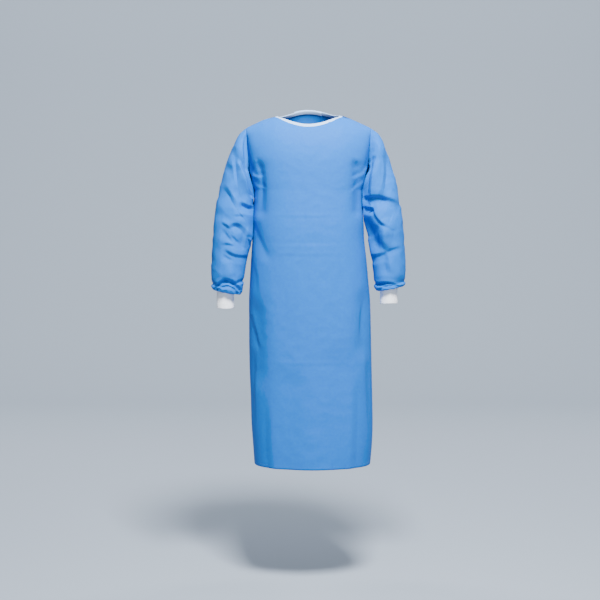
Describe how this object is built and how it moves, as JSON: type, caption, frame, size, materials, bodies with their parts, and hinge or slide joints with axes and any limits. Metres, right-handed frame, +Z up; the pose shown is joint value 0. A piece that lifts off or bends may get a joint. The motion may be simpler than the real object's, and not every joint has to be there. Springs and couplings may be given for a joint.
{
  "type": "surgical gown",
  "caption": "Worn calf-length surgical gown of thin non-woven cloth: hollow body, long sleeves gathered into knit cuffs, bound round neck, back halves lapped and tied.",
  "frame": {"origin": "midway between the high points of the shoulders, at the base of the neck, where the wearer holds the gown", "axes": "+Z up, the gown's front towards -Y, the viewer's right of the front towards +X"},
  "size_m": [0.6359, 0.307, 1.1686],
  "materials": {
    "cloth": "matte pressed non-woven cloth with a faint sheen",
    "knit": "soft rib knit",
    "binding": "folded pale binding tape"
  },
  "bodies": {
    "root": {"front_panel": "cloth", "back_panel_left": "cloth", "back_panel_right": "cloth", "sleeve_left": "cloth", "sleeve_right": "cloth", "waist_tie": "cloth", "cuff_left": "knit", "cuff_right": "knit", "neck_binding": "binding"}
  },
  "joints": []
}
